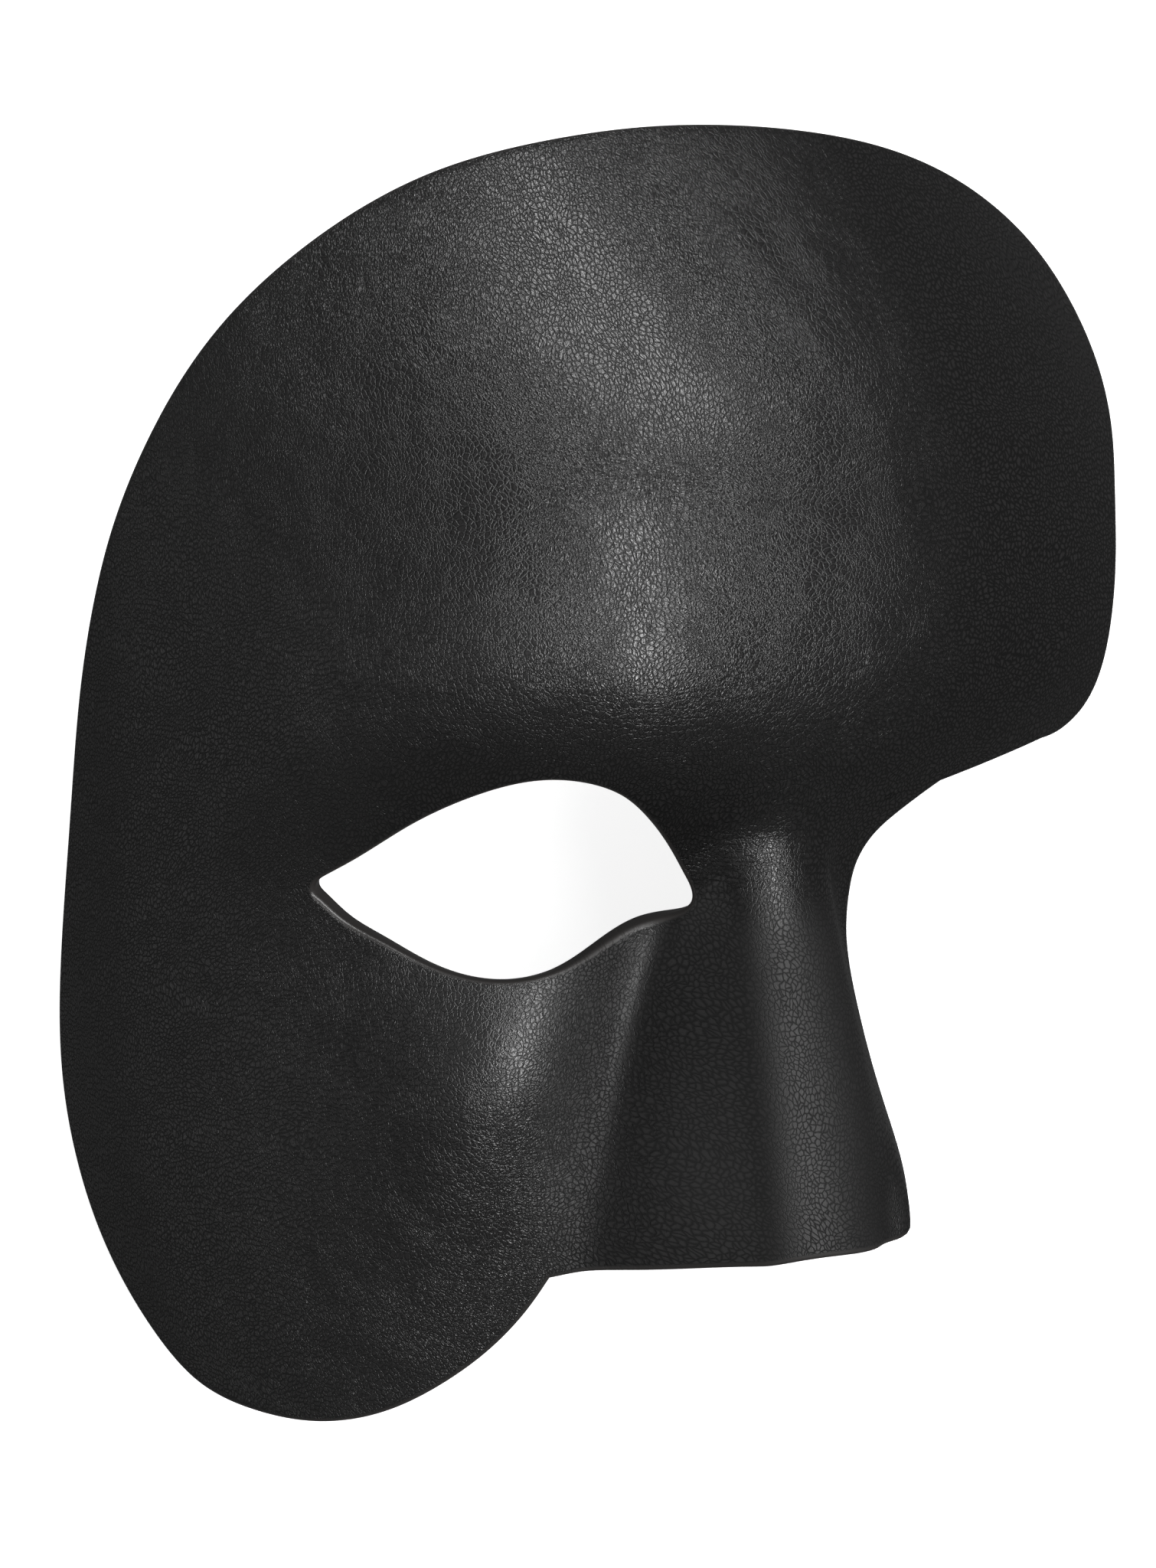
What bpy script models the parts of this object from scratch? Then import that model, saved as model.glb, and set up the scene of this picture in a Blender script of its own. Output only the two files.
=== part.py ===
"""Moulded leather half mask: one thick sheet pressed over a face form and cut to outline.

The sheet is laid out flat, as a pattern with an outer cut line and one eye opening. Every point of
the pattern has a place across the face (u) and a height up the face (v). The face form turns that
place into a point in space: x to the viewer's right, y up the face, z out of the face. The mask is
then turned to lie on its back rim, face up.
"""

import math

import bpy
import numpy as np

# All dimensions below are millimetres unless a name says otherwise.
METRES = 0.001

# Sheet and mesh. The height is measured up the pattern, from the cheek's lowest point to the forehead's top.
MASK_HEIGHT = 200.0
THICKNESS = 3.0
EDGE_ROUND = 0.7
LARGEST_EDGE_ROUND = THICKNESS / 3
SHARP_EDGE_DEG = 60.0
SECTORS = 104
RINGS = 20
OUTLINE_STEPS = 4000

# The face form and the two outlines are drawn for a pattern as high as the cut line below, and the whole
# form is then scaled to the mask's height. A pattern width of TURN_WIDTH turns through one radian.
TURN_WIDTH = 76.0

# Profiles of the face form. Each pair is a height on the face and the value there.
MIDLINE_DEPTH = ((-90, -36.5), (-60, -34), (-20, -29), (10, -15), (40, -8.5), (75, -25.5), (110, -60))
HALF_WIDTH_EYE_SIDE = ((-90, 78), (-50, 85), (0, 88), (60, 87), (110, 74))
HALF_WIDTH_CUT_SIDE = ((-90, 76), (-50, 87.5), (0, 95), (60, 98), (110, 84.5))
HALF_DEPTH = ((-90, 86), (0, 87), (60, 82.5), (110, 66.5))
LOW_SQUARENESS = 2.35
HIGH_SQUARENESS = 2.05
SQUARENESS_CHANGE = (-40, 80)

# Nose: a round ridge with straight walls that run into the cheek.
RIDGE_DEPTH = ((-70, 4), (-50, -0.5), (-30, -6), (-12, -13.4), (0, -18), (12, -22), (30, -30))
RIDGE_RADIUS = ((-60, 12), (-35, 12.3), (-14, 10.3), (5, 10.6))
WALL_SLOPE_DEG = 65.0
NOSE_BLEND = 2.0
NOSTRIL_FLARE = 4.2
NOSTRIL_HEIGHT = -52.0
NOSTRIL_SPREAD = 10.0
NOSTRIL_RISE = (9, 16)

# Raised and sunk places: how far they stand out, their place and their spread.
BROW_HEIGHT = ((0, 20), (10, 26), (25, 31), (38, 37), (62, 31), (90, 14))
BROW_STAND = 1.4
BROW_SPREAD = 13.0
BROW_RISE = (0, 26)
BROW_FADE = (58, 95)
SOCKET_SINK = 7.6
SOCKET_PLACE = (34, -2)
SOCKET_SPREAD = (25, 12.5)
CHEEK_STAND = 5.0
CHEEK_PLACE = (30, -36.5)
CHEEK_INNER_SPREAD = 8.5
CHEEK_OUTER_SPREAD = 19.0
CHEEK_UPRIGHT_SPREAD = 18.0
CHEEK_LEAN = -0.07
FOLD_SINK = 2.2
FOLD_PLACE = (23.5, -32)
FOLD_SPREAD = (6, 23.5)
FOLD_LEAN = -0.3
TEMPLE_SINK = 3.1
TEMPLE_PLACE = (88, 39)
TEMPLE_SPREAD = (14, 22)

# Cut line of the pattern, from the notch beside the nose round to the notch again.
CUT_LINE = (
    (-28, -64.1), (-23.5, -63), (-17.5, -60.5), (-11.5, -57.4), (-5.3, -55), (3.8, -54.6),
    (9.5, -54.9), (13.4, -54.3), (16, -52.7), (17.4, -49.5), (17.6, -45), (16.6, -36), (15, -25),
    (14, -14), (13.8, -6), (13.9, 0), (15.2, 4.2), (17.6, 7.6), (23.7, 13.6), (32, 16.8),
    (38, 17), (42, 20), (44.5, 27), (45.6, 35), (47, 43.5), (49.6, 53.5), (53.5, 62.5),
    (56.6, 71.6), (57.4, 80.5), (55.5, 89), (50.4, 96), (42, 102), (32, 106), (21.7, 108.3),
    (1, 110), (-21.5, 108.2), (-42, 103.3), (-61.3, 94), (-80, 80.4), (-96, 63.5), (-107.5, 44.8),
    (-112.4, 24), (-111, 1), (-109, -21.3), (-109.5, -44.5), (-104.8, -64.8), (-92.7, -81),
    (-84, -87.5), (-73.5, -90), (-62.5, -89.9), (-52.5, -87), (-43.8, -81.8), (-36.3, -75.4),
    (-30.3, -67.9), (-28, -64.1),
)

# Eye opening, from its outer corner along the upper lid and back along the lower lid.
EYE_LINE = (
    (-62.3, -1.9), (-61.2, -0.7), (-58.5, 1.4), (-51, 8), (-43, 13.3), (-34.3, 16.1), (-29.4, 15.7),
    (-24.7, 13.8), (-20.2, 9.8), (-16, 4.6), (-12.5, -0.7), (-11.4, -3.1), (-11.4, -5),
    (-12.6, -6.6), (-17, -8.5), (-25.3, -13.7), (-33.8, -16.2), (-43.3, -14.6), (-52, -10.5),
    (-57.3, -7.7), (-61.2, -4.6), (-62.4, -3.2),
)
EYE_CENTRE = (-36.0, 0.0)
CLOSED_WRAP = 4

# How the mask lies: turns about the face's up axis, then about the row's X axis.
LIE_TURN_DEG = 43.8
LIE_PITCH_DEG = 22.8


def curve(pairs, at):
    """Value at any height on a smooth natural cubic through the pairs, straight past its ends."""
    place, value = np.array(pairs, float).T
    gap = np.diff(place)
    rows = np.eye(len(place))
    right = np.zeros(len(place))
    for i in range(1, len(place) - 1):
        rows[i, i - 1:i + 2] = gap[i - 1], 2 * (gap[i - 1] + gap[i]), gap[i]
        right[i] = 6 * ((value[i + 1] - value[i]) / gap[i] - (value[i] - value[i - 1]) / gap[i - 1])
    bend = np.linalg.solve(rows, right)
    inside = np.clip(at, place[0], place[-1])
    k = np.clip(np.searchsorted(place, inside) - 1, 0, len(place) - 2)
    low = (place[k + 1] - inside) / gap[k]
    high = 1 - low
    smooth = (low ** 3 - low) * bend[k] + (high ** 3 - high) * bend[k + 1]
    first = (value[1] - value[0]) / gap[0] - gap[0] * bend[1] / 6
    last = (value[-1] - value[-2]) / gap[-1] + gap[-1] * bend[-2] / 6
    past = first * np.minimum(at - place[0], 0) + last * np.maximum(at - place[-1], 0)
    return low * value[k] + high * value[k + 1] + smooth * gap[k] ** 2 / 6 + past


def swell(distance, spread):
    """Bell shape: one at its centre, falling away with distance."""
    return np.exp(-0.5 * (distance / spread) ** 2)


def ramp(start, end, at):
    """Smooth rise from nought at start to one at end."""
    t = np.clip((at - start) / (end - start), 0, 1)
    return t * t * (3 - 2 * t)


def face(u, v):
    """Point of the sheet's outer face for a place u across and a height v up the pattern."""
    turn = u / TURN_WIDTH
    half = np.where(u < 0, curve(HALF_WIDTH_EYE_SIDE, v), curve(HALF_WIDTH_CUT_SIDE, v))
    depth = curve(HALF_DEPTH, v)
    power = LOW_SQUARENESS + (HIGH_SQUARENESS - LOW_SQUARENESS) * ramp(*SQUARENESS_CHANGE, v)
    side, front = np.sin(turn), np.cos(turn)
    size = (np.abs(side) ** power + np.abs(front) ** power) ** (1 / power)
    x = half * side / size
    z = curve(MIDLINE_DEPTH, v) - depth * (1 - front / size)
    out_x, out_z = side * depth, front * half
    length = np.hypot(out_x, out_z)

    away = np.abs(u)
    brow = BROW_STAND * ramp(*BROW_RISE, -u) * (1 - ramp(*BROW_FADE, -u))
    relief = brow * swell(v - curve(BROW_HEIGHT, np.abs(x)), BROW_SPREAD)
    relief -= (SOCKET_SINK * swell(away - SOCKET_PLACE[0], SOCKET_SPREAD[0])
               * swell(v - SOCKET_PLACE[1], SOCKET_SPREAD[1]))
    crest = away - CHEEK_PLACE[0] - CHEEK_LEAN * (v - CHEEK_PLACE[1])
    spread = np.where(crest < 0, CHEEK_INNER_SPREAD, CHEEK_OUTER_SPREAD)
    relief += CHEEK_STAND * swell(crest, spread) * swell(v - CHEEK_PLACE[1], CHEEK_UPRIGHT_SPREAD)
    fold = away - FOLD_PLACE[0] - FOLD_LEAN * (v - FOLD_PLACE[1])
    relief -= FOLD_SINK * swell(fold, FOLD_SPREAD[0]) * swell(v - FOLD_PLACE[1], FOLD_SPREAD[1])
    relief -= (TEMPLE_SINK * swell(away - TEMPLE_PLACE[0], TEMPLE_SPREAD[0])
               * swell(v - TEMPLE_PLACE[1], TEMPLE_SPREAD[1]))
    x = x + relief * out_x / length
    z = z + relief * out_z / length

    across = np.abs(x)
    flare = swell(v - NOSTRIL_HEIGHT, NOSTRIL_SPREAD) * ramp(*NOSTRIL_RISE, x)
    across = across - NOSTRIL_FLARE * flare
    slope = math.radians(WALL_SLOPE_DEG)
    radius = curve(RIDGE_RADIUS, v)
    rounded = np.minimum(across, radius * math.sin(slope))
    drop = radius - np.sqrt(radius ** 2 - rounded ** 2)
    drop = drop + math.tan(slope) * (across - rounded)
    nose = curve(RIDGE_DEPTH, v) - drop
    z = np.maximum(z, nose) + NOSE_BLEND * np.log1p(np.exp(-np.abs(z - nose) / NOSE_BLEND))
    return np.stack([x, v + 0 * x, z], axis=-1)


def drawn(points, closed):
    """Fine line through the points: u, v and the part of its length passed at each step."""
    points = np.array(points, float)
    start, stop = 0, len(points) - 1
    if closed:
        points = np.concatenate([points[-CLOSED_WRAP:], points, points[:CLOSED_WRAP + 1]])
        start, stop = CLOSED_WRAP, len(points) - 1 - CLOSED_WRAP
    along = np.concatenate([[0], np.cumsum(np.hypot(*np.diff(points, axis=0).T))])
    t = np.linspace(along[start], along[stop], OUTLINE_STEPS)
    u = curve(np.stack([along, points[:, 0]], axis=1), t)
    v = curve(np.stack([along, points[:, 1]], axis=1), t)
    passed = np.concatenate([[0], np.cumsum(np.hypot(np.diff(u), np.diff(v)))])
    return u, v, passed / passed[-1]


def bearing(u, v):
    """Angle from the eye's centre, rising clockwise from the first point of the line."""
    return np.unwrap(np.arctan2(v - EYE_CENTRE[1], u - EYE_CENTRE[0]))


def pattern():
    """Grid of pattern points, one row per ring from the eye line out to the cut line."""
    outer_u, outer_v, outer_part = drawn(CUT_LINE, False)
    eye_u, eye_v, eye_part = drawn(EYE_LINE[::-1], True)
    part = np.arange(SECTORS) / SECTORS
    rim_u, rim_v = np.interp(part, outer_part, outer_u), np.interp(part, outer_part, outer_v)

    outer_angle = np.interp(part, outer_part, bearing(outer_u, outer_v))
    eye_angle = bearing(eye_u, eye_v)
    lap = math.tau
    eye_angle = eye_angle - lap * np.round((eye_angle[0] - outer_angle[0]) / lap)
    laps = np.array([-1, 0, 1])
    angles = (eye_angle[None, :-1] + lap * laps[:, None]).ravel()
    parts = (eye_part[None, :-1] + laps[:, None]).ravel()
    facing = np.interp(outer_angle, angles, parts)
    even = facing[0] + part
    mixed = (facing + even) / 2 % 1
    lid_u, lid_v = np.interp(mixed, eye_part, eye_u), np.interp(mixed, eye_part, eye_v)

    share = np.linspace(0, 1, RINGS + 1)[:, None]
    return lid_u + (rim_u - lid_u) * share, lid_v + (rim_v - lid_v) * share


def lying(points):
    """Face-frame points turned so that the mask lies face up, forehead towards +Y."""
    turn, pitch = math.radians(LIE_TURN_DEG), math.radians(LIE_PITCH_DEG)
    x, y, z = points[..., 0], points[..., 1], points[..., 2]
    x, z = x * math.cos(turn) + z * math.sin(turn), z * math.cos(turn) - x * math.sin(turn)
    y, z = y * math.cos(pitch) - z * math.sin(pitch), y * math.sin(pitch) + z * math.cos(pitch)
    return np.stack([x, y, z], axis=-1)


def leather_material():
    """Black, waxed leather."""
    material = bpy.data.materials.new("black_leather")
    material.use_nodes = True
    shader = material.node_tree.nodes["Principled BSDF"]
    shader.inputs["Base Color"].default_value = (0.022, 0.021, 0.020, 1.0)
    shader.inputs["Roughness"].default_value = 0.45
    return material


def sheet(collection):
    """The whole mask: the moulded open sheet, thickened inwards, with its cut edges eased."""
    u, v = pattern()
    drawn_height = np.ptp([height for width, height in CUT_LINE])
    points = lying(face(u, v)) * MASK_HEIGHT / drawn_height * METRES
    rings, sectors = u.shape
    faces = []
    for ring in range(rings - 1):
        for sector in range(sectors):
            after = (sector + 1) % sectors
            here = ring * sectors
            faces.append((here + sector, here + sectors + sector, here + sectors + after, here + after))
    mesh = bpy.data.meshes.new("leather_mask")
    mesh.from_pydata(points.reshape(-1, 3).tolist(), [], faces)
    mesh.materials.append(leather_material())
    mesh.shade_smooth()
    mask = bpy.data.objects.new("leather_mask", mesh)
    collection.objects.link(mask)

    thicken = mask.modifiers.new("thickness", "SOLIDIFY")
    thicken.thickness = THICKNESS * METRES
    thicken.offset = -1.0
    ease = mask.modifiers.new("eased_edges", "BEVEL")
    ease.width = min(EDGE_ROUND, LARGEST_EDGE_ROUND) * METRES
    ease.segments = 1
    ease.limit_method = "ANGLE"
    ease.angle_limit = math.radians(SHARP_EDGE_DEG)
    ease.harden_normals = True
    return mask


def settle(mask):
    """Moves the sheet so that its finished box stands on z = 0, centred on x = y = 0."""
    bpy.context.view_layer.update()
    finished = mask.evaluated_get(bpy.context.evaluated_depsgraph_get())
    corners = np.array([vertex.co[:] for vertex in finished.data.vertices])
    low, high = corners.min(axis=0), corners.max(axis=0)
    shift = np.array([-(low[0] + high[0]) / 2, -(low[1] + high[1]) / 2, -low[2]])
    for vertex in mask.data.vertices:
        vertex.co = shift + np.array(vertex.co[:])


for leftover in list(bpy.data.objects):
    bpy.data.objects.remove(leftover, do_unlink=True)

parts = bpy.data.collections.new("venetian_leather_mask")
bpy.context.scene.collection.children.link(parts)
settle(sheet(parts))
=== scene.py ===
import math

import bpy
import numpy as np
from mathutils import Matrix, Vector


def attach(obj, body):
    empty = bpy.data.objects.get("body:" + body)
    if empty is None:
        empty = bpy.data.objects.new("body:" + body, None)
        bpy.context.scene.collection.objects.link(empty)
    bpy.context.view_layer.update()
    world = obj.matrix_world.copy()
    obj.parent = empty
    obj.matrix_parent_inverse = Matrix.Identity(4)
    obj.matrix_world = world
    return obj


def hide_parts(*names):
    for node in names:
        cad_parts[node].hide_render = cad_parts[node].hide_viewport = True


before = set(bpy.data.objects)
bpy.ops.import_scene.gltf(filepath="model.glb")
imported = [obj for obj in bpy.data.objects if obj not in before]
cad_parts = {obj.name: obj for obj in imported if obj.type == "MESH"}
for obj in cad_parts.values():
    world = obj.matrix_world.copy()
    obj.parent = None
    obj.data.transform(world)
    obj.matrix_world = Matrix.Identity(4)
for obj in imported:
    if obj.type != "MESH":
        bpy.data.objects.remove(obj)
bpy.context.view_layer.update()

# The moulded sheet.
# One piece of vegetable-tanned leather, wetted, pressed over a face form and dried hard, then cut to its
# outline with one eye opening. Its face is dyed black and waxed, its edges are burnished.
MM = 0.001
THICKNESS = 3.0
SECTORS = 760
FRONT_ROWS = 92
BACK_ROWS = 20
FRONT_EDGE_ROUND = 0.9
BACK_EDGE_ROUND = 0.5
ROUND_STEPS = 4
OUTLINE_STEPS = 12000
TURN_WIDTH = 76.0

MIDLINE_DEPTH = ((-90, -36.5), (-60, -34), (-20, -29), (10, -15), (40, -8.5), (75, -25.5), (110, -60))
HALF_WIDTH_EYE_SIDE = ((-90, 78), (-50, 85), (0, 88), (60, 87), (110, 74))
HALF_WIDTH_CUT_SIDE = ((-90, 76), (-50, 87.5), (0, 95), (60, 98), (110, 84.5))
HALF_DEPTH = ((-90, 86), (0, 87), (60, 82.5), (110, 66.5))
LOW_SQUARENESS = 2.35
HIGH_SQUARENESS = 2.05
SQUARENESS_CHANGE = (-40, 80)

RIDGE_DEPTH = ((-70, 4), (-50, -0.5), (-30, -6), (-12, -13.4), (0, -18), (12, -22), (30, -30))
RIDGE_RADIUS = ((-60, 12), (-35, 12.3), (-14, 10.3), (5, 10.6))
WALL_SLOPE_DEG = 65.0
NOSE_BLEND = 2.0
NOSTRIL_FLARE = 4.2
NOSTRIL_HEIGHT = -52.0
NOSTRIL_SPREAD = 10.0
NOSTRIL_RISE = (9, 16)

BROW_HEIGHT = ((0, 20), (10, 26), (25, 31), (38, 37), (62, 31), (90, 14))
BROW_STAND = 1.4
BROW_SPREAD = 13.0
BROW_RISE = (0, 26)
BROW_FADE = (58, 95)
SOCKET_SINK = 7.6
SOCKET_PLACE = (34, -2)
SOCKET_SPREAD = (25, 12.5)
CHEEK_STAND = 5.0
CHEEK_PLACE = (30, -36.5)
CHEEK_INNER_SPREAD = 8.5
CHEEK_OUTER_SPREAD = 19.0
CHEEK_UPRIGHT_SPREAD = 18.0
CHEEK_LEAN = -0.07
FOLD_SINK = 2.2
FOLD_PLACE = (23.5, -32)
FOLD_SPREAD = (6, 23.5)
FOLD_LEAN = -0.3
TEMPLE_SINK = 3.1
TEMPLE_PLACE = (88, 39)
TEMPLE_SPREAD = (14, 22)

# The outlines run point to point on the flat pattern, in millimetres across and up. Their points were read
# from the photograph, carried onto the moulded form by a scratch program and rounded. Those hidden behind
# the nose are guessed.
CUT_LINE = (
    (-28, -64.1), (-23.5, -63), (-17.5, -60.5), (-11.5, -57.4), (-5.3, -55), (3.8, -54.6),
    (9.5, -54.9), (13.4, -54.3), (16, -52.7), (17.4, -49.5), (17.6, -45), (16.6, -36), (15, -25),
    (14, -14), (13.8, -6), (13.9, 0), (15.2, 4.2), (17.6, 7.6), (23.7, 13.6), (32, 16.8),
    (38, 17), (42, 20), (44.5, 27), (45.6, 35), (47, 43.5), (49.6, 53.5), (53.5, 62.5),
    (56.6, 71.6), (57.4, 80.5), (55.5, 89), (50.4, 96), (42, 102), (32, 106), (21.7, 108.3),
    (1, 110), (-21.5, 108.2), (-42, 103.3), (-61.3, 94), (-80, 80.4), (-96, 63.5), (-107.5, 44.8),
    (-112.4, 24), (-111, 1), (-109, -21.3), (-109.5, -44.5), (-104.8, -64.8), (-92.7, -81),
    (-84, -87.5), (-73.5, -90), (-62.5, -89.9), (-52.5, -87), (-43.8, -81.8), (-36.3, -75.4),
    (-30.3, -67.9), (-28, -64.1),
)
EYE_LINE = (
    (-62.3, -1.9), (-61.2, -0.7), (-58.5, 1.4), (-51, 8), (-43, 13.3), (-34.3, 16.1), (-29.4, 15.7),
    (-24.7, 13.8), (-20.2, 9.8), (-16, 4.6), (-12.5, -0.7), (-11.4, -3.1), (-11.4, -5),
    (-12.6, -6.6), (-17, -8.5), (-25.3, -13.7), (-33.8, -16.2), (-43.3, -14.6), (-52, -10.5),
    (-57.3, -7.7), (-61.2, -4.6), (-62.4, -3.2),
)
EYE_CENTRE = (-36.0, 0.0)
CLOSED_WRAP = 4
SLOPE_STEP = 0.05

LIE_TURN_DEG = 43.8
LIE_PITCH_DEG = 22.8


def curve(pairs, at):
    """Natural cubic through the pairs, read at any height, and straight past its ends."""
    place, value = np.array(pairs, float).T
    gap = np.diff(place)
    rows = np.eye(len(place))
    right = np.zeros(len(place))
    for i in range(1, len(place) - 1):
        rows[i, i - 1:i + 2] = gap[i - 1], 2 * (gap[i - 1] + gap[i]), gap[i]
        right[i] = 6 * ((value[i + 1] - value[i]) / gap[i] - (value[i] - value[i - 1]) / gap[i - 1])
    bend = np.linalg.solve(rows, right)
    inside = np.clip(at, place[0], place[-1])
    k = np.clip(np.searchsorted(place, inside) - 1, 0, len(place) - 2)
    low = (place[k + 1] - inside) / gap[k]
    high = 1 - low
    smooth = (low ** 3 - low) * bend[k] + (high ** 3 - high) * bend[k + 1]
    first = (value[1] - value[0]) / gap[0] - gap[0] * bend[1] / 6
    last = (value[-1] - value[-2]) / gap[-1] + gap[-1] * bend[-2] / 6
    past = first * np.minimum(at - place[0], 0) + last * np.maximum(at - place[-1], 0)
    return low * value[k] + high * value[k + 1] + smooth * gap[k] ** 2 / 6 + past


def swell(distance, spread):
    """Bell: e to the minus half of the squared share of distance over spread."""
    return np.exp(-0.5 * (distance / spread) ** 2)


def ramp(start, end, at):
    """Rise from nought to one as three t squared less two t cubed."""
    t = np.clip((at - start) / (end - start), 0, 1)
    return t * t * (3 - 2 * t)


def moulded(u, v):
    """Outer face, in millimetres, of the leather at u across and v up the flat pattern.

    Each height has a squarish half oval for the skull, raised or sunk along its outward direction by
    bells for brow, socket, cheek and temple. A round ridge with straight walls, the nose, is joined to
    it by the smooth greater of the two depths.
    """
    turn = u / TURN_WIDTH
    half = np.where(u < 0, curve(HALF_WIDTH_EYE_SIDE, v), curve(HALF_WIDTH_CUT_SIDE, v))
    depth = curve(HALF_DEPTH, v)
    power = LOW_SQUARENESS + (HIGH_SQUARENESS - LOW_SQUARENESS) * ramp(*SQUARENESS_CHANGE, v)
    side, front = np.sin(turn), np.cos(turn)
    size = (np.abs(side) ** power + np.abs(front) ** power) ** (1 / power)
    x = half * side / size
    z = curve(MIDLINE_DEPTH, v) - depth * (1 - front / size)
    out_x, out_z = side * depth, front * half
    length = np.hypot(out_x, out_z)

    away = np.abs(u)
    brow = BROW_STAND * ramp(*BROW_RISE, -u) * (1 - ramp(*BROW_FADE, -u))
    relief = brow * swell(v - curve(BROW_HEIGHT, np.abs(x)), BROW_SPREAD)
    relief -= (SOCKET_SINK * swell(away - SOCKET_PLACE[0], SOCKET_SPREAD[0])
               * swell(v - SOCKET_PLACE[1], SOCKET_SPREAD[1]))
    crest = away - CHEEK_PLACE[0] - CHEEK_LEAN * (v - CHEEK_PLACE[1])
    spread = np.where(crest < 0, CHEEK_INNER_SPREAD, CHEEK_OUTER_SPREAD)
    relief += CHEEK_STAND * swell(crest, spread) * swell(v - CHEEK_PLACE[1], CHEEK_UPRIGHT_SPREAD)
    fold = away - FOLD_PLACE[0] - FOLD_LEAN * (v - FOLD_PLACE[1])
    relief -= FOLD_SINK * swell(fold, FOLD_SPREAD[0]) * swell(v - FOLD_PLACE[1], FOLD_SPREAD[1])
    relief -= (TEMPLE_SINK * swell(away - TEMPLE_PLACE[0], TEMPLE_SPREAD[0])
               * swell(v - TEMPLE_PLACE[1], TEMPLE_SPREAD[1]))
    x = x + relief * out_x / length
    z = z + relief * out_z / length

    across = np.abs(x)
    flare = swell(v - NOSTRIL_HEIGHT, NOSTRIL_SPREAD) * ramp(*NOSTRIL_RISE, x)
    across = across - NOSTRIL_FLARE * flare
    slope = math.radians(WALL_SLOPE_DEG)
    radius = curve(RIDGE_RADIUS, v)
    rounded = np.minimum(across, radius * math.sin(slope))
    drop = radius - np.sqrt(radius ** 2 - rounded ** 2)
    drop = drop + math.tan(slope) * (across - rounded)
    nose = curve(RIDGE_DEPTH, v) - drop
    z = np.maximum(z, nose) + NOSE_BLEND * np.log1p(np.exp(-np.abs(z - nose) / NOSE_BLEND))
    return np.stack([x, v + 0 * x, z], axis=-1)


def unit(vectors):
    """Vectors divided by their lengths."""
    return vectors / np.linalg.norm(vectors, axis=-1, keepdims=True)


def outward(u, v):
    """Normal of the outer face: the cross product of its slopes across and up the pattern."""
    across = moulded(u + SLOPE_STEP, v) - moulded(u - SLOPE_STEP, v)
    up = moulded(u, v + SLOPE_STEP) - moulded(u, v - SLOPE_STEP)
    return unit(np.cross(across, up))


def drawn(points, closed):
    """Fine line on a natural cubic through the points, with the share of its length at each step."""
    points = np.array(points, float)
    start, stop = 0, len(points) - 1
    if closed:
        points = np.concatenate([points[-CLOSED_WRAP:], points, points[:CLOSED_WRAP + 1]])
        start, stop = CLOSED_WRAP, len(points) - 1 - CLOSED_WRAP
    along = np.concatenate([[0], np.cumsum(np.hypot(*np.diff(points, axis=0).T))])
    t = np.linspace(along[start], along[stop], OUTLINE_STEPS)
    u = curve(np.stack([along, points[:, 0]], axis=1), t)
    v = curve(np.stack([along, points[:, 1]], axis=1), t)
    passed = np.concatenate([[0], np.cumsum(np.hypot(np.diff(u), np.diff(v)))])
    return u, v, passed / passed[-1]


def bearing(u, v):
    """Angle from the eye's centre, unwound along the line."""
    return np.unwrap(np.arctan2(v - EYE_CENTRE[1], u - EYE_CENTRE[0]))


def outlines():
    """Rings of the eye line and the cut line, point to point, where each eye point faces its cut point.

    A facing eye point is the mean of the one at the same bearing and the one at the same share of length.
    """
    outer_u, outer_v, outer_part = drawn(CUT_LINE, False)
    eye_u, eye_v, eye_part = drawn(EYE_LINE[::-1], True)
    part = np.arange(SECTORS) / SECTORS
    outer_angle = np.interp(part, outer_part, bearing(outer_u, outer_v))
    eye_angle = bearing(eye_u, eye_v)
    lap = 2 * math.pi
    eye_angle = eye_angle - lap * np.round((eye_angle[0] - outer_angle[0]) / lap)
    laps = np.array([-1, 0, 1])
    angles = (eye_angle[None, :-1] + lap * laps[:, None]).ravel()
    parts = (eye_part[None, :-1] + laps[:, None]).ravel()
    facing_part = np.interp(outer_angle, angles, parts)
    mixed = (facing_part + facing_part[0] + part) / 2 % 1
    lid = np.stack([np.interp(mixed, eye_part, eye_u), np.interp(mixed, eye_part, eye_v)], axis=1)
    rim = np.stack([np.interp(part, outer_part, outer_u), np.interp(part, outer_part, outer_v)], axis=1)
    return lid, rim


def lying(points):
    """Face-frame points turned about the face's up axis, then about X, so that the mask lies face up."""
    turn, pitch = math.radians(LIE_TURN_DEG), math.radians(LIE_PITCH_DEG)
    x, y, z = points[..., 0], points[..., 1], points[..., 2]
    x, z = x * math.cos(turn) + z * math.sin(turn), z * math.cos(turn) - x * math.sin(turn)
    y, z = y * math.cos(pitch) - z * math.sin(pitch), y * math.sin(pitch) + z * math.cos(pitch)
    return np.stack([x, y, z], axis=-1)


def edge_frame(ring, side):
    """Skin, normal and outward direction along a pattern ring, and the pattern step of one outward mm.

    Outward is square to the normal and to the ring. The pattern step is the least squares answer for
    the slopes across and up the pattern.
    """
    u, v = ring.T
    points = moulded(u, v)
    normal = outward(u, v)
    along = np.roll(points, -1, axis=0) - np.roll(points, 1, axis=0)
    out = side * unit(np.cross(along, normal))
    across = (moulded(u + SLOPE_STEP, v) - moulded(u - SLOPE_STEP, v)) / (2 * SLOPE_STEP)
    up = (moulded(u, v + SLOPE_STEP) - moulded(u, v - SLOPE_STEP)) / (2 * SLOPE_STEP)
    cc, cu, uu = (across * across).sum(-1), (across * up).sum(-1), (up * up).sum(-1)
    oc, ou = (out * across).sum(-1), (out * up).sum(-1)
    ground = cc * uu - cu * cu
    move = np.stack([(oc * uu - ou * cu) / ground, (ou * cc - oc * cu) / ground], axis=1)
    return points, normal, out, move


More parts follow.
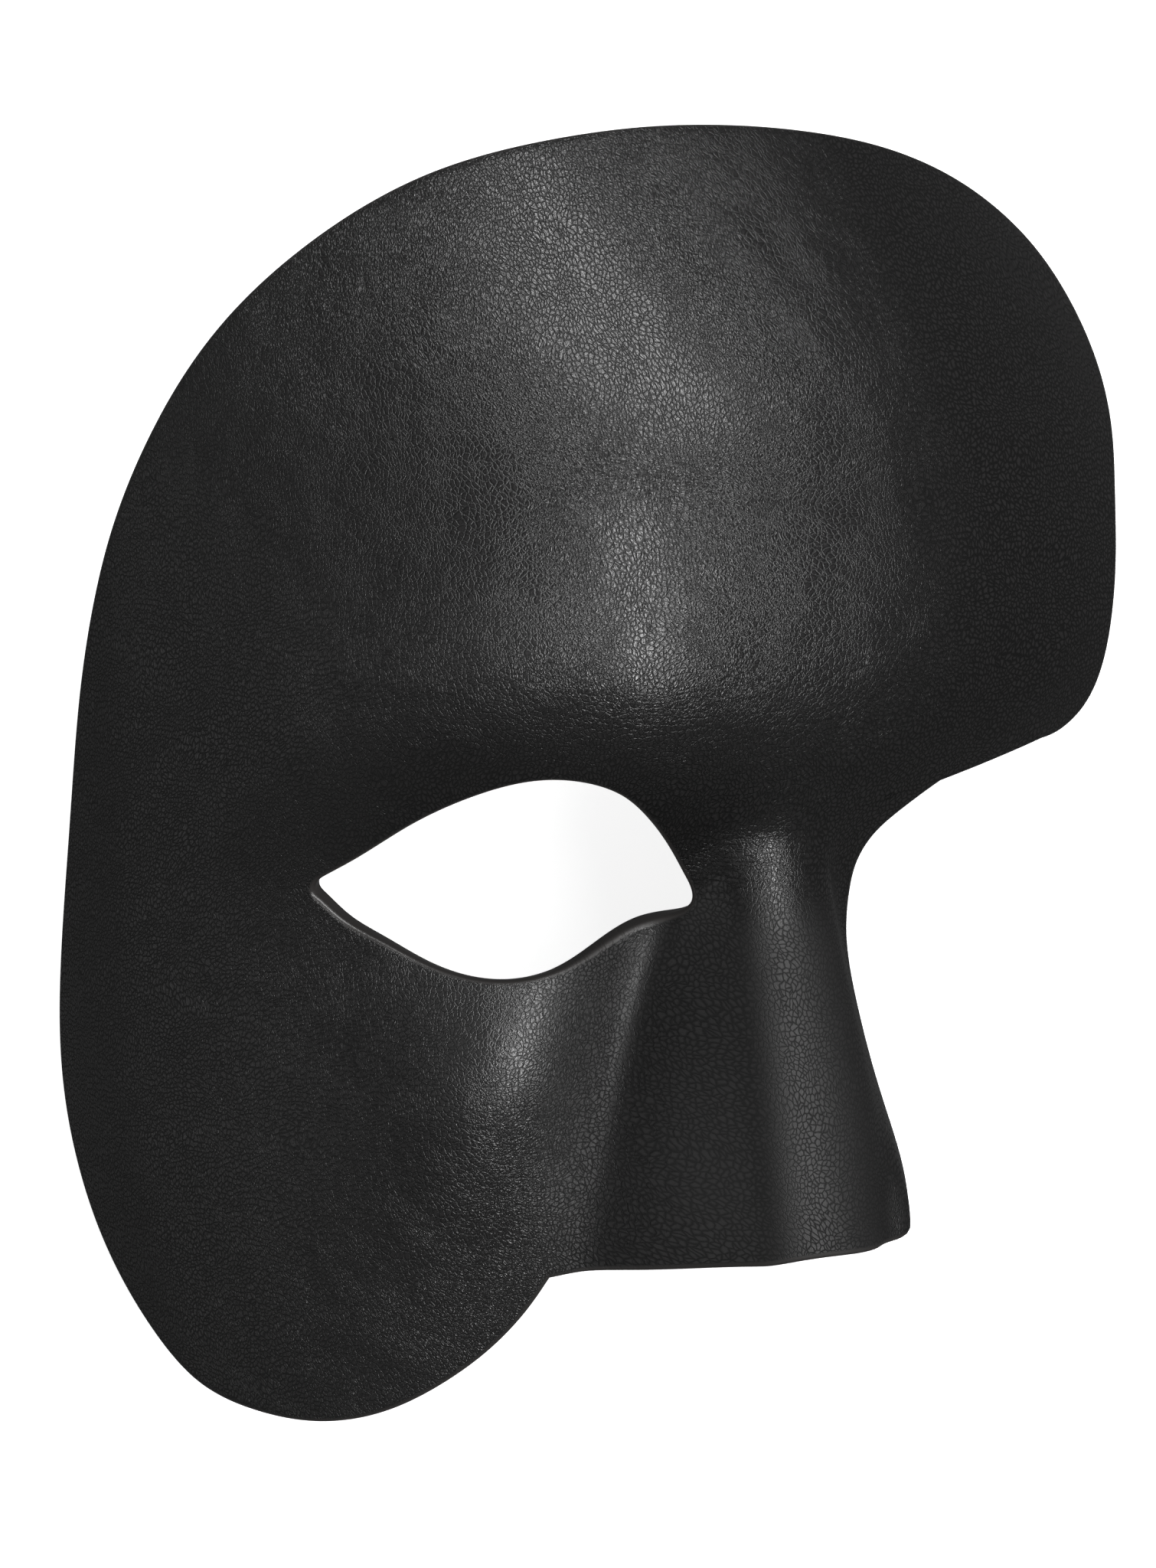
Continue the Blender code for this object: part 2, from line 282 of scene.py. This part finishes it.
def cut_rows(points, normal, out):
    """Rows over a cut edge: a quarter circle from the outer face, the straight cut, one to the back."""
    rows = []
    turn = np.linspace(0, math.pi / 2, ROUND_STEPS + 1)
    for angle in turn[1:]:
        rows.append(points - FRONT_EDGE_ROUND * (1 - math.cos(angle)) * normal
                    - FRONT_EDGE_ROUND * (1 - math.sin(angle)) * out)
    low = THICKNESS - BACK_EDGE_ROUND
    for angle in turn[:-1]:
        rows.append(points - (low + BACK_EDGE_ROUND * math.sin(angle)) * normal
                    - BACK_EDGE_ROUND * (1 - math.cos(angle)) * out)
    return rows


def between(lid, rim, shares):
    """Pattern grid, one row for each share of the way from the lid ring to the rim ring."""
    return lid + (rim - lid) * shares[:, None, None]


lid, rim = outlines()
rim_points, rim_normal, rim_out, rim_move = edge_frame(rim, 1)
lid_points, lid_normal, lid_out, lid_move = edge_frame(lid, -1)
front = between(lid - FRONT_EDGE_ROUND * lid_move, rim - FRONT_EDGE_ROUND * rim_move,
                np.linspace(0, 1, FRONT_ROWS + 1))
back = between(lid - BACK_EDGE_ROUND * lid_move, rim - BACK_EDGE_ROUND * rim_move,
               np.linspace(1, 0, BACK_ROWS + 1))
skin = moulded(front[..., 0], front[..., 1])
inside = moulded(back[..., 0], back[..., 1]) - THICKNESS * outward(back[..., 0], back[..., 1])
rim_rows = cut_rows(rim_points, rim_normal, rim_out)
lid_rows = cut_rows(lid_points, lid_normal, lid_out)[::-1]
grid = np.array([*skin, *rim_rows, *inside, *lid_rows])
flat = np.array([*front, *[rim] * len(rim_rows), *back, *[lid] * len(lid_rows)])
zone_of_row = np.repeat([0.0, 1.0, 2.0, 1.0], [len(skin), len(rim_rows), len(inside), len(lid_rows)])

placed = lying(grid)
low, high = placed.min(axis=(0, 1)), placed.max(axis=(0, 1))
placed = (placed - [(low[0] + high[0]) / 2, (low[1] + high[1]) / 2, low[2]]) * MM
here = np.arange(placed[..., 0].size).reshape(placed.shape[:2])
after_row, after_sector = np.roll(here, -1, axis=0), np.roll(here, -1, axis=1)
quads = np.stack([here, after_row, np.roll(after_row, -1, axis=1), after_sector], axis=-1).reshape(-1, 4)

mesh = bpy.data.meshes.new("moulded_leather")
mesh.vertices.add(here.size)
mesh.vertices.foreach_set("co", placed.astype(np.float32).ravel())
mesh.loops.add(quads.size)
mesh.loops.foreach_set("vertex_index", quads.astype(np.int32).ravel())
mesh.polygons.add(len(quads))
mesh.polygons.foreach_set("loop_start", np.arange(0, quads.size, 4, dtype=np.int32))
mesh.update(calc_edges=True)
mesh.validate()
mesh.shade_smooth()
PATTERN_SPAN = 240.0
PATTERN_CORNER = (-120.0, -110.0)
u_flat, v_flat = flat[..., 0].ravel(), flat[..., 1].ravel()
flat = (flat.reshape(-1, 2) - PATTERN_CORNER) / PATTERN_SPAN
uv_layer = mesh.uv_layers.new(name="pattern")
uv_layer.uv.foreach_set("vector", flat[quads.ravel()].astype(np.float32).ravel())


def spread_over(name, values):
    """Stores one number for each point of the mesh under a name that the material reads."""
    layer = mesh.attributes.new(name, "FLOAT", "POINT")
    layer.data.foreach_set("value", np.asarray(values, np.float32).ravel())


# The grain is strongest on the outer eye side and the lobe, and weak on the far forehead, the nose's wall
# and below the eye. The leather is dull along the nose's ridge, and crazed in the fold beside the nose and
# across the nose's root.
spread_over("zone", np.repeat(zone_of_row, SECTORS))
far_forehead = ramp(0, 30, u_flat) * ramp(5, 30, v_flat)
outer_eye_side = ramp(45, 75, -u_flat)
lobe = ramp(45, 65, -v_flat)
nose_wall = ramp(-21, -16, u_flat) * ramp(3, 9, -u_flat) * ramp(-6, 8, -v_flat)
below_eye = swell(u_flat + 38, 9) * swell(v_flat + 25, 6)
spread_over("grain", 1 - 0.7 * far_forehead + 1.3 * outer_eye_side + 0.7 * lobe
            - 0.65 * nose_wall - 0.4 * below_eye)
spread_over("fold", swell(u_flat + 21.5, 4.5) * ramp(5, 14, -v_flat))
spread_over("ridge", swell(u_flat, 8) * ramp(0, 12, -v_flat))
spread_over("root", swell(u_flat + 8, 5) * swell(v_flat - 2, 4))

leather = bpy.data.objects.new("moulded_leather", mesh)
bpy.context.scene.collection.objects.link(leather)
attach(leather, "root")
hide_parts("leather_mask")


class Wire:
    """A shader socket; sums and products of wires add the Math nodes that work them out."""

    def __init__(self, socket):
        self.socket = socket

    def add(self, kind, settings=None, values=None, take=0):
        """Adds a node of the kind: its settings come first, then its sockets' values or links."""
        tree = self.socket.id_data
        node = tree.nodes.new(kind)
        for name, value in (settings or {}).items():
            setattr(node, name, value)
        for name, value in (values or {}).items():
            socket = self.find(node.inputs, name)
            if isinstance(value, Wire):
                tree.links.new(value.socket, socket)
            else:
                socket.default_value = value
        return Wire(self.find(node.outputs, take))

    def find(self, sockets, name):
        """Socket by number, or the enabled one of that name."""
        if isinstance(name, int):
            return sockets[name]
        return next(socket for socket in sockets if socket.name == name and socket.enabled)

    def math(self, operation, *terms):
        """One Math node on the terms, in their order."""
        return self.add("ShaderNodeMath", {"operation": operation}, dict(enumerate(terms)))

    def __add__(self, other):
        return self.math("ADD", self, other)

    def __sub__(self, other):
        return self.math("SUBTRACT", self, other)

    def __rsub__(self, other):
        return self.math("SUBTRACT", other, self)

    def __mul__(self, other):
        return self.math("MULTIPLY", self, other)

    __radd__ = __add__
    __rmul__ = __mul__


# A scale is cells in a millimetre of the pattern, and a warp is a noise's scale and its reach in mm.
# Grooves, painted crown highlights and cracks end at these values of the cell or noise. GRAIN_HEIGHT is in
# millimetres, and the other heights are shares of it. A DULL value is roughness added to the waxed
# leather's.
GRAIN_WARPS = ((0.1, 4.0), (0.8, 0.7))
PEBBLE_STRETCH = (1.0, 0.66, 1.0)
PEBBLE_SCALE = 1.85
PEBBLE_GROOVE = 0.2
CROWN_HIGHLIGHT_SPAN = (0.08, 0.36)
FINE_SCALE = 3.6
FINE_GROOVE = 0.25
AREA_SCALE = 0.16
AREA_SPAN = (0.3, 0.65)
AREA_DEPTH = (0.9, 1.0)
PORE_SCALE = 1.6
CRACK_WIDTH = 0.045
FOLD_CRACK_STRETCH = (1.3, 0.3, 1.0)
ROOT_CRACK_STRETCH = (0.3, 1.1, 1.0)
# Share of a crack's mark that goes into the painted shade of the colour.
CRACK_PAINTED_SHADE = 0.5
GRAIN_HEIGHT = 0.045
PEBBLE_HEIGHT = 0.7
FINE_HEIGHT = 0.3
PORE_HEIGHT = 0.5
CRACK_DEPTH = 1.1
# Colours: the crown colour, lighter than the foot, is a painted highlight on the pebbles' tops; the groove
# colour is painted shade in the grooves and cracks. The edge and the back have their own colours.
PEBBLE_FOOT = (0.0055, 0.0055, 0.0055, 1.0)
CROWN_PAINTED_HIGHLIGHT = (0.017, 0.0165, 0.0167, 1.0)
GROOVE_PAINTED_SHADE = (0.0015, 0.0015, 0.0015, 1.0)
EDGE_DARK = (0.03, 0.028, 0.027, 1.0)
BACK_BROWN = (0.05, 0.043, 0.037, 1.0)
WAXED_ROUGHNESS = 0.17
GROOVE_DULL = 0.35
AREA_DULL = 0.02
FOLD_DULL = 0.35
RIDGE_DULL = 0.38
EDGE_DULL = 0.1
BACK_DULL = 0.45


def black_leather():
    """Waxed black leather: upright pebbles, grooves between them, cracks, duller edge and back, with a
    painted highlight on the pebbles' crowns and painted shade in the grooves and cracks.
    """
    material = bpy.data.materials.new("black_leather")
    material.use_nodes = True
    tree = material.node_tree
    shader = tree.nodes["Principled BSDF"]
    start = Wire(tree.nodes.new("ShaderNodeUVMap").outputs[0])
    tree.nodes[-1].uv_map = "pattern"
    zone, grain, fold, ridge, root = [start.add("ShaderNodeAttribute", {"attribute_name": name}, take="Fac")
                                      for name in ("zone", "grain", "fold", "ridge", "root")]
    edge = start.add("ShaderNodeMapRange", {}, {"Value": zone, "From Max": 1.0})
    back = start.add("ShaderNodeMapRange", {}, {"Value": zone, "From Min": 1.0, "From Max": 2.0})

    place = start.add("ShaderNodeVectorMath", {"operation": "SCALE"}, {0: start, "Scale": PATTERN_SPAN})
    bent = place
    for scale, reach in GRAIN_WARPS:
        warp = start.add("ShaderNodeTexNoise", {}, {"Vector": place, "Scale": scale, "Detail": 1.0}, take=1)
        warp = start.add("ShaderNodeVectorMath", {"operation": "SUBTRACT"}, {0: warp, 1: (0.5, 0.5, 0.5)})
        warp = start.add("ShaderNodeVectorMath", {"operation": "SCALE"}, {0: warp, "Scale": reach})
        bent = start.add("ShaderNodeVectorMath", {"operation": "ADD"}, {0: bent, 1: warp})
    tall = start.add("ShaderNodeMapping", {}, {"Vector": bent, "Scale": PEBBLE_STRETCH})

    flat_cells = {"voronoi_dimensions": "2D", "feature": "DISTANCE_TO_EDGE"}
    smooth_step = {"interpolation_type": "SMOOTHSTEP"}
    cells = start.add("ShaderNodeTexVoronoi", flat_cells, {"Vector": tall, "Scale": PEBBLE_SCALE})
    # The first ramp marks the grooves; the second marks the pebbles' crowns, which get a painted highlight
    # in the colour.
    pebble, painted_crown_highlight = [start.add("ShaderNodeMapRange", smooth_step,
                              {"Value": cells, "From Min": foot, "From Max": top})
                    for foot, top in ((0.0, PEBBLE_GROOVE), CROWN_HIGHLIGHT_SPAN)]
    fine_cells = start.add("ShaderNodeTexVoronoi", flat_cells, {"Vector": tall, "Scale": FINE_SCALE})
    fine_pebble = start.add("ShaderNodeMapRange", smooth_step,
                            {"Value": fine_cells, "From Min": 0.0, "From Max": FINE_GROOVE})
    area = start.add("ShaderNodeTexNoise", {}, {"Vector": place, "Scale": AREA_SCALE, "Detail": 3.0})
    depth = start.add("ShaderNodeMapRange", smooth_step,
                      {"Value": area, "From Min": AREA_SPAN[0], "From Max": AREA_SPAN[1],
                       "To Min": AREA_DEPTH[0], "To Max": AREA_DEPTH[1]})
    depth = depth * grain * (1 - edge)
    pores = start.add("ShaderNodeTexNoise", {}, {"Vector": place, "Scale": PORE_SCALE, "Detail": 3.0})

    crazing = []
    for stretch in (FOLD_CRACK_STRETCH, ROOT_CRACK_STRETCH):
        along = start.add("ShaderNodeMapping", {}, {"Vector": bent, "Scale": stretch})
        lines = start.add("ShaderNodeTexNoise", {}, {"Vector": along, "Scale": 1.0, "Detail": 2.0})
        crazing.append(start.add("ShaderNodeMapRange", smooth_step,
                                 {"Value": lines.math("ABSOLUTE", lines - 0.5),
                                  "From Min": CRACK_WIDTH, "From Max": 0.0}))
    cracks = crazing[0] * fold + crazing[1] * root

    height = ((pebble * PEBBLE_HEIGHT + fine_pebble * FINE_HEIGHT) * depth
              + pores * PORE_HEIGHT - cracks * CRACK_DEPTH)
    bump = start.add("ShaderNodeBump", {},
                     {"Height": height, "Strength": 1.0, "Distance": GRAIN_HEIGHT * MM})
    tree.links.new(bump.socket, shader.inputs["Normal"])

    # The grooves are darkened with painted shade in the colour below, and made duller in the roughness.
    groove_shade_and_dull = (1 - pebble) * depth
    tint = {"data_type": "RGBA"}
    # Base colour: from the foot to a painted highlight on the crowns, then painted shade in the grooves
    # and, at a share, in the cracks, then the edge's and the back's own colours.
    shade = start.add("ShaderNodeMix", tint, {"Factor": painted_crown_highlight, "A": PEBBLE_FOOT, "B": CROWN_PAINTED_HIGHLIGHT},
                      take="Result")
    for share, colour in ((groove_shade_and_dull + cracks * CRACK_PAINTED_SHADE, GROOVE_PAINTED_SHADE), (edge, EDGE_DARK),
                          (back, BACK_BROWN)):
        shade = start.add("ShaderNodeMix", tint, {"Factor": share, "A": shade, "B": colour}, take="Result")
    tree.links.new(shade.socket, shader.inputs["Base Color"])
    rough = (groove_shade_and_dull * GROOVE_DULL + area * AREA_DULL + WAXED_ROUGHNESS + fold * FOLD_DULL
             + ridge * RIDGE_DULL + edge * EDGE_DULL + back * BACK_DULL)
    tree.links.new(rough.socket, shader.inputs["Roughness"])
    return material


leather.data.materials.append(black_leather())

# The studio.
# A plain white paper table top that glows a little, with soft lamps around it. The paper doesn't show in
# the leather or light it. None of this is part of the mask.
FLOOR_HALF = 3.0
PAPER_WHITE = (0.86, 0.86, 0.86, 1.0)
PAPER_ROUGHNESS = 0.9
PAPER_GLOW = 0.85
ROOM_LIGHT = 0.1
floor_mesh = bpy.data.meshes.new("floor")
floor_mesh.from_pydata([(-FLOOR_HALF, -FLOOR_HALF, 0), (FLOOR_HALF, -FLOOR_HALF, 0),
                        (FLOOR_HALF, FLOOR_HALF, 0), (-FLOOR_HALF, FLOOR_HALF, 0)], [], [(0, 1, 2, 3)])
floor = bpy.data.objects.new("floor", floor_mesh)
bpy.context.scene.collection.objects.link(floor)
paper = bpy.data.materials.new("white_paper")
paper.use_nodes = True
paper_shader = paper.node_tree.nodes["Principled BSDF"]
paper_shader.inputs["Base Color"].default_value = PAPER_WHITE
paper_shader.inputs["Roughness"].default_value = PAPER_ROUGHNESS
paper_shader.inputs["Emission Color"].default_value = (1.0, 1.0, 1.0, 1.0)
paper_shader.inputs["Emission Strength"].default_value = PAPER_GLOW
floor_mesh.materials.append(paper)
floor.visible_glossy = False
floor.visible_diffuse = False

# The lamps look at this point in the mask, from this far.
LAMP_AIM = Vector((0.0, 0.0, 0.045))
LAMP_DISTANCE = 1.6


def facing(azimuth, elevation):
    """Unit direction in the row frame for an azimuth and elevation seen from the face's front."""
    a, e = math.radians(azimuth), math.radians(elevation)
    direction = np.array([math.sin(a) * math.cos(e), math.sin(e), math.cos(a) * math.cos(e)])
    return Vector(lying(direction))


def softbox(name, azimuth, elevation, width, height, power):
    """A rectangular lamp that looks at the mask, its height along the face's up direction."""
    data = bpy.data.lights.new(name, "AREA")
    data.shape = "RECTANGLE"
    data.size, data.size_y = width, height
    data.energy = power
    lamp = bpy.data.objects.new(name, data)
    bpy.context.scene.collection.objects.link(lamp)
    back_way = facing(azimuth, elevation)
    side_way = Vector(lying(np.array([0.0, 1.0, 0.0]))).cross(back_way).normalized()
    up_way = back_way.cross(side_way)
    turned = Matrix((side_way, up_way, back_way)).transposed().to_4x4()
    lamp.matrix_world = Matrix.Translation(LAMP_AIM + LAMP_DISTANCE * back_way) @ turned


softbox("strip_lamp", azimuth=-1, elevation=20, width=0.28, height=1.7, power=21)
softbox("low_lamp", azimuth=-2, elevation=-16, width=0.28, height=0.5, power=8)
softbox("top_lamp", azimuth=24, elevation=72, width=0.4, height=0.9, power=11)
softbox("wide_lamp", azimuth=-34, elevation=0, width=1.1, height=1.4, power=1.6)
softbox("side_lamp", azimuth=-105, elevation=-12, width=1.4, height=1.4, power=2.2)

world = bpy.data.worlds.new("studio")
bpy.context.scene.world = world
world.use_nodes = True
world.node_tree.nodes["Background"].inputs["Color"].default_value = (1, 1, 1, 1)
world.node_tree.nodes["Background"].inputs["Strength"].default_value = ROOM_LIGHT

# The camera.
# A long lens on the face's eye side and a little above it, as in the photograph. It stands where the face
# frame's origin, in front of the nose's root, is seen at ORIGIN_PIXEL.
IMAGE_WIDTH, IMAGE_HEIGHT = 1510, 2048
CAMERA_AZIMUTH, CAMERA_ELEVATION = 23.5, 10.0
CAMERA_DISTANCE = 0.8
LENS = 125.0
SENSOR = 36.0
ORIGIN_PIXEL = (1101, 1170)
focal_pixels = LENS / SENSOR * IMAGE_HEIGHT
a, e = math.radians(CAMERA_AZIMUTH), math.radians(CAMERA_ELEVATION)
toward = np.array([-math.sin(a) * math.cos(e), math.sin(e), math.cos(a) * math.cos(e)])
right = np.array([math.cos(a), 0.0, math.sin(a)])
upward = np.array([math.sin(a) * math.sin(e), math.cos(e), -math.cos(a) * math.sin(e)])
offset_x = (ORIGIN_PIXEL[0] - IMAGE_WIDTH / 2) / focal_pixels * CAMERA_DISTANCE
offset_y = -(ORIGIN_PIXEL[1] - IMAGE_HEIGHT / 2) / focal_pixels * CAMERA_DISTANCE
spot = toward * CAMERA_DISTANCE - right * offset_x - upward * offset_y
shift = np.array([-(low[0] + high[0]) / 2, -(low[1] + high[1]) / 2, -low[2]]) * MM
camera_data = bpy.data.cameras.new("camera")
camera_data.sensor_fit = "VERTICAL"
camera_data.sensor_height = SENSOR
camera_data.lens = LENS
camera = bpy.data.objects.new("camera", camera_data)
bpy.context.scene.collection.objects.link(camera)
axes = Matrix([Vector(lying(right)), Vector(lying(upward)), Vector(lying(toward))]).transposed()
camera.matrix_world = Matrix.Translation(Vector(lying(spot) + shift)) @ axes.to_4x4()
bpy.context.scene.camera = camera
bpy.context.scene.view_settings.view_transform = "Standard"
